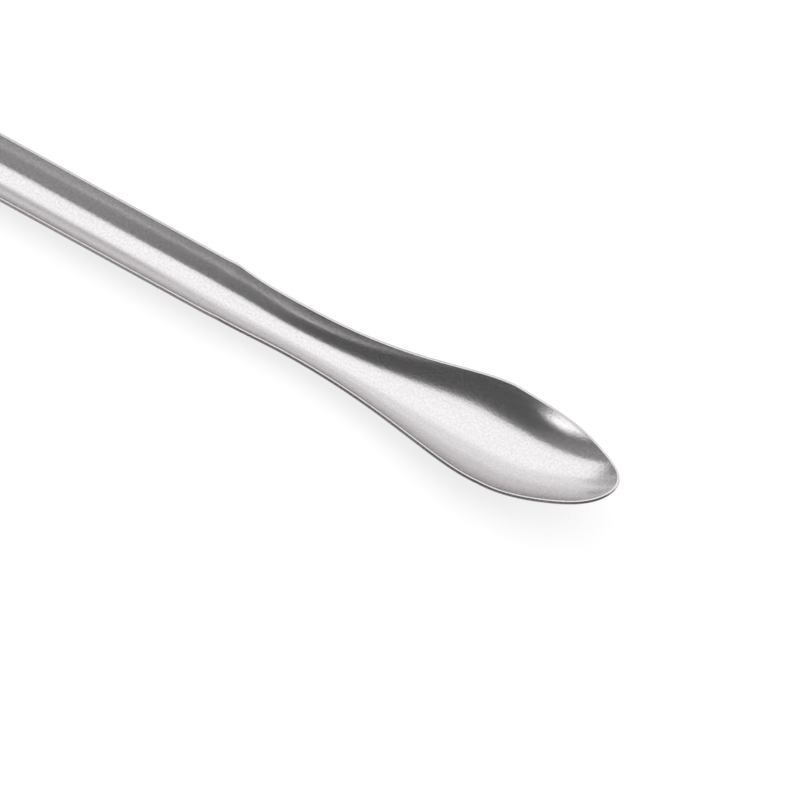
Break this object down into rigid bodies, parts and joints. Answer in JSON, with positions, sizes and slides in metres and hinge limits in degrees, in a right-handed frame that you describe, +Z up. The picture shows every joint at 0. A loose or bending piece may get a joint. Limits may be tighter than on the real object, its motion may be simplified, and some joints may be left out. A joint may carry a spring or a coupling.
{
  "type": "lab spatula",
  "caption": "One-piece pressed steel scoop: a half-round gutter handle runs through a narrower neck into a deep pointed bowl with a raised, rounded tip.",
  "frame": {"origin": "the middle of the tool's length and width, on the surface that its underside lies on", "axes": "+X along the tool from the handle to the tip, +Y across it, +Z up out of the hollow"},
  "size_m": [0.18, 0.012, 0.0063],
  "materials": {
    "satin_steel": "satin pressed stainless sheet with a fine lengthwise grain and brightly deburred edges"
  },
  "bodies": {
    "root": {"spatula": "satin_steel"}
  },
  "joints": []
}
